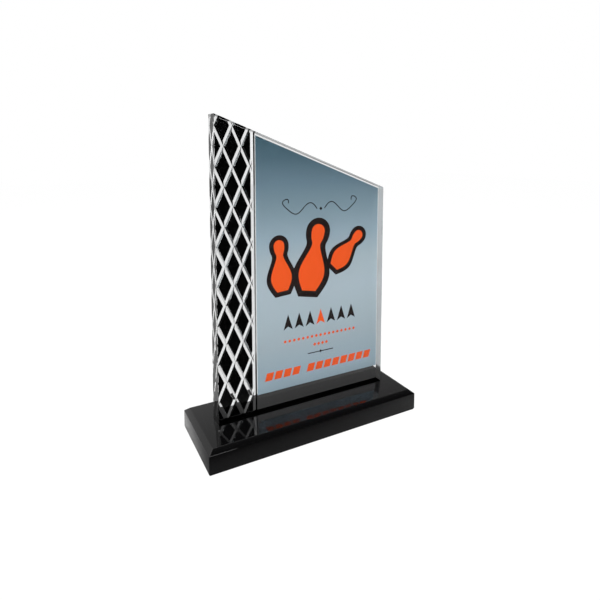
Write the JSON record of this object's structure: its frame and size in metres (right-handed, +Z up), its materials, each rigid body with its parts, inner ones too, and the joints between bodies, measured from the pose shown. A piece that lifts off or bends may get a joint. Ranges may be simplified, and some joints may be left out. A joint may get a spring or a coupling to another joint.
{
  "type": "bowling trophy",
  "caption": "Desk award: a carved clear upright with a slanted top and a bowling-pin print on its back, bonded on a bevelled black base",
  "frame": {"origin": "centre of the underside", "axes": "+X to the right along the base seen from the front, +Y to the back, +Z up"},
  "size_m": [0.178, 0.0654, 0.2437],
  "materials": {
    "black_felt": "matte felt sheet",
    "black_acrylic": "polished, mirror gloss",
    "dark_cement": "thin black cement",
    "clear_acrylic": "clear, polished faces and grooves",
    "black_paint": "opaque paint behind the clear sheet",
    "white_ink": "opaque ink, satin",
    "blue_grey_ink": "printed ink, graded from dark at the top to pale below",
    "orange_ink": "printed ink",
    "dark_ink": "printed ink"
  },
  "bodies": {
    "root": {"base_pad": "black_felt", "base_block": "black_acrylic", "bond_film": "dark_cement", "upright": "clear_acrylic", "black_paint_column_1": "black_paint", "black_paint_column_2": "black_paint", "black_paint_column_3": "black_paint", "black_paint_column_4": "black_paint", "black_paint_column_5": "black_paint", "print_backing": "white_ink", "print_ground": "blue_grey_ink", "pin_fill_left": "orange_ink", "pin_fill_centre": "orange_ink", "pin_fill_right": "orange_ink", "pin_outlines": "dark_ink", "side_arrows": "dark_ink", "centre_arrow": "orange_ink", "bead_row": "orange_ink", "lozenge_row": "orange_ink", "dark_rule": "dark_ink", "left_stripes": "orange_ink", "right_stripes": "orange_ink", "scrolls": "dark_ink"}
  },
  "joints": []
}
